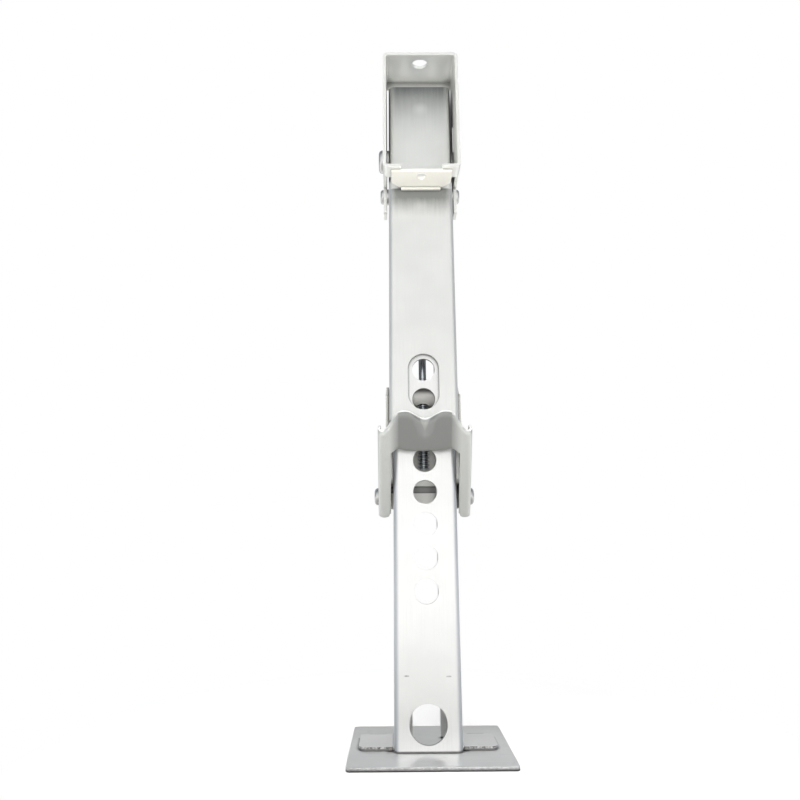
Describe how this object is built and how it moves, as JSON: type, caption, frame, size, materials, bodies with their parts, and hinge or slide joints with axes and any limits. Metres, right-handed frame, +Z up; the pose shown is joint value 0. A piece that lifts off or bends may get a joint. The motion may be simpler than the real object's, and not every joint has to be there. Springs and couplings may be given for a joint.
{
  "type": "trailer stabilizer jack",
  "caption": "Telescoping zinc-plated steel stabilizer jack on a flat foot plate, with a sprung latch lever, a screw height adjuster and a swing-down mounting bracket.",
  "frame": {"origin": "on the ground, under the middle of the leg", "axes": "+Z up along the leg, -Y towards the latch lever's side, +X to the right seen from that side"},
  "size_m": [0.12, 0.1013, 0.5879],
  "materials": {
    "plate_zinc": "zinc-plated sheet steel, grey and a little worn",
    "leg_zinc": "bright zinc-plated sheet steel",
    "weld_zinc": "plated weld bead",
    "channel_zinc": "bright zinc-plated sheet steel",
    "fastener_zinc": "bright zinc-plated fasteners",
    "screw_steel": "zinc-plated turned steel",
    "carriage_zinc": "zinc-plated sheet steel, slightly warm",
    "lever_zinc": "zinc-plated pressed sheet steel",
    "spring_steel": "plated spring wire",
    "bracket_zinc": "bright zinc-plated sheet steel"
  },
  "bodies": {
    "leg": {"foot_plate": "plate_zinc", "inner_leg": "leg_zinc", "foot_welds": "weld_zinc"},
    "carriage": {"lock_carriage": "carriage_zinc", "carriage_strap": "carriage_zinc", "travelling_nut": "screw_steel", "nut_bolt": "fastener_zinc", "nut_bolt_washer": "fastener_zinc", "lever_rivet_left": "fastener_zinc", "lever_rivet_right": "fastener_zinc", "lever_spacer_left": "fastener_zinc", "lever_spacer_right": "fastener_zinc", "lever_spring_left": "spring_steel", "lever_spring_right": "spring_steel"},
    "lever": {"latch_lever": "lever_zinc", "latch_dog": "screw_steel"},
    "channel": {"outer_channel": "channel_zinc", "bearing_plate": "channel_zinc", "thrust_washer": "fastener_zinc", "pivot_rivet_left": "fastener_zinc", "pivot_rivet_right": "fastener_zinc", "pivot_washer_left": "fastener_zinc", "pivot_washer_right": "fastener_zinc"},
    "screw": {"adjusting_screw": "screw_steel", "screw_collar": "screw_steel", "collar_pin": "screw_steel"},
    "bracket": {"mounting_bracket": "bracket_zinc", "stop_plate": "bracket_zinc", "guide_rivet_left": "fastener_zinc", "guide_rivet_right": "fastener_zinc", "guide_washer_left": "fastener_zinc", "guide_washer_right": "fastener_zinc", "side_shim": "fastener_zinc"}
  },
  "joints": [
    {"name": "leg_extension", "type": "slide", "parent": "leg", "child": "carriage", "axis": [0, 0, 1], "range_m": [-0.127, 0.0508]},
    {"name": "latch_pivot", "type": "hinge", "parent": "carriage", "child": "lever", "pos_m": [0, 0, 0.19], "axis": [1, 0, 0], "range_deg": [-5, 15]},
    {"name": "screw_lift", "type": "slide", "parent": "carriage", "child": "channel", "axis": [0, 0, 1], "range_m": [0, 0.045]},
    {"name": "screw_turn", "type": "hinge", "parent": "channel", "child": "screw", "pos_m": [0, 0, 0.55], "axis": [0, 0, 1], "range_deg": [0, 5400]},
    {"name": "bracket_swing", "type": "hinge", "parent": "channel", "child": "bracket", "pos_m": [0, 0, 0.503], "axis": [-1, 0, 0], "range_deg": [0, 90]}
  ],
  "couplings": [
    {"joint": "screw_turn", "follows": "screw_lift", "rad_per_m": 2094.4}
  ]
}
